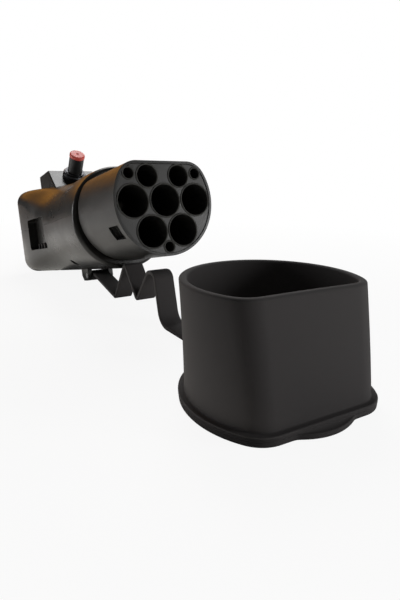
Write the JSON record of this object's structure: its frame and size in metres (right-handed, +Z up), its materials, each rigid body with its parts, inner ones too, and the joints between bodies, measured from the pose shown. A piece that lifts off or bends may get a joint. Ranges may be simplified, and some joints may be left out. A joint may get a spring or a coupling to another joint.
{
  "type": "ev charging adapter",
  "caption": "Black vehicle charging adapter with a D-shaped plug face, a round latching nose, a release button and a rubber dust cap on a folded strap.",
  "frame": {"origin": "on the table under the middle of the whole object's box", "axes": "+Z up from the table, +Y from the dust cap and plug face towards the vehicle nose, +X to the right seen from the plug face; the adapter itself lies nose up by 11.5 degrees"},
  "size_m": [0.0704, 0.3042, 0.0841],
  "materials": {
    "housing_plastic": "satin moulded black plastic",
    "barrel_plastic": "fine eroded black plastic",
    "carrier_plastic": "fine eroded black plastic",
    "cap_rubber": "matte black rubber",
    "seal_rubber": "dull black rubber",
    "button_black": "smooth black plastic",
    "button_red": "glossy red plastic",
    "steel": "zinc plated steel",
    "bush_metal": "dark nickel plate",
    "contact_metal": "silver plated brass",
    "board": "solder-masked board",
    "resistor": "lacquered resistor body",
    "wire_blue": "blue insulation",
    "wire_brown": "brown insulation",
    "wire_green": "green insulation",
    "wire_grey": "grey insulation"
  },
  "bodies": {
    "adapter": {"button_bush": "bush_metal", "button_nut": "bush_metal", "button_spring": "steel", "button_washer": "seal_rubber", "carrier_screws": "steel", "coding_board": "board", "coding_resistor": "resistor", "contact_carrier": "carrier_plastic", "contact_insert": "carrier_plastic", "control_pilot_pin": "contact_metal", "control_pilot_socket": "contact_metal", "control_pilot_wire": "wire_grey", "earth_pin": "contact_metal", "earth_socket": "contact_metal", "earth_wire": "wire_green", "latch_pin": "steel", "latch_spring": "steel", "line_pin": "contact_metal", "line_socket": "contact_metal", "line_wire": "wire_brown", "lower_shell": "housing_plastic", "neutral_pin": "contact_metal", "neutral_socket": "contact_metal", "neutral_wire": "wire_blue", "nose_barrel": "barrel_plastic", "pin_retainer": "carrier_plastic", "proximity_pin": "contact_metal", "proximity_socket": "contact_metal", "proximity_wire": "wire_grey", "root_seal": "seal_rubber", "shell_screws": "steel", "strap_pin": "steel", "upper_shell": "housing_plastic", "vehicle_nose": "barrel_plastic"},
    "button": {"button_cap": "button_red", "button_sleeve": "button_black"},
    "latch": {"latch_lever": "housing_plastic"},
    "cap": {"dust_cap": "cap_rubber"}
  },
  "joints": [
    {"name": "latch_lift", "type": "hinge", "parent": "adapter", "child": "latch", "pos_m": [0.0014, 0.11433, 0.06069], "axis": [1, 0, 0], "range_deg": [0, 10], "stiffness_Nm_per_rad": 0.1, "springref_deg": -11.46, "deforming": ["latch_spring"]},
    {"name": "button_press", "type": "slide", "parent": "adapter", "child": "button", "axis": [0, 0.5519, -0.8339], "range_m": [0, 0.00279], "deforming": ["button_spring"]},
    {"name": "cap_swing", "type": "hinge", "parent": "adapter", "child": "cap", "pos_m": [0.0014, 0.05071, 0.00628], "axis": [1, 0, 0], "range_deg": [0, 35]}
  ],
  "couplings": [
    {"joint": "button_press", "follows": "latch_lift", "m_per_rad": 0.0159}
  ]
}
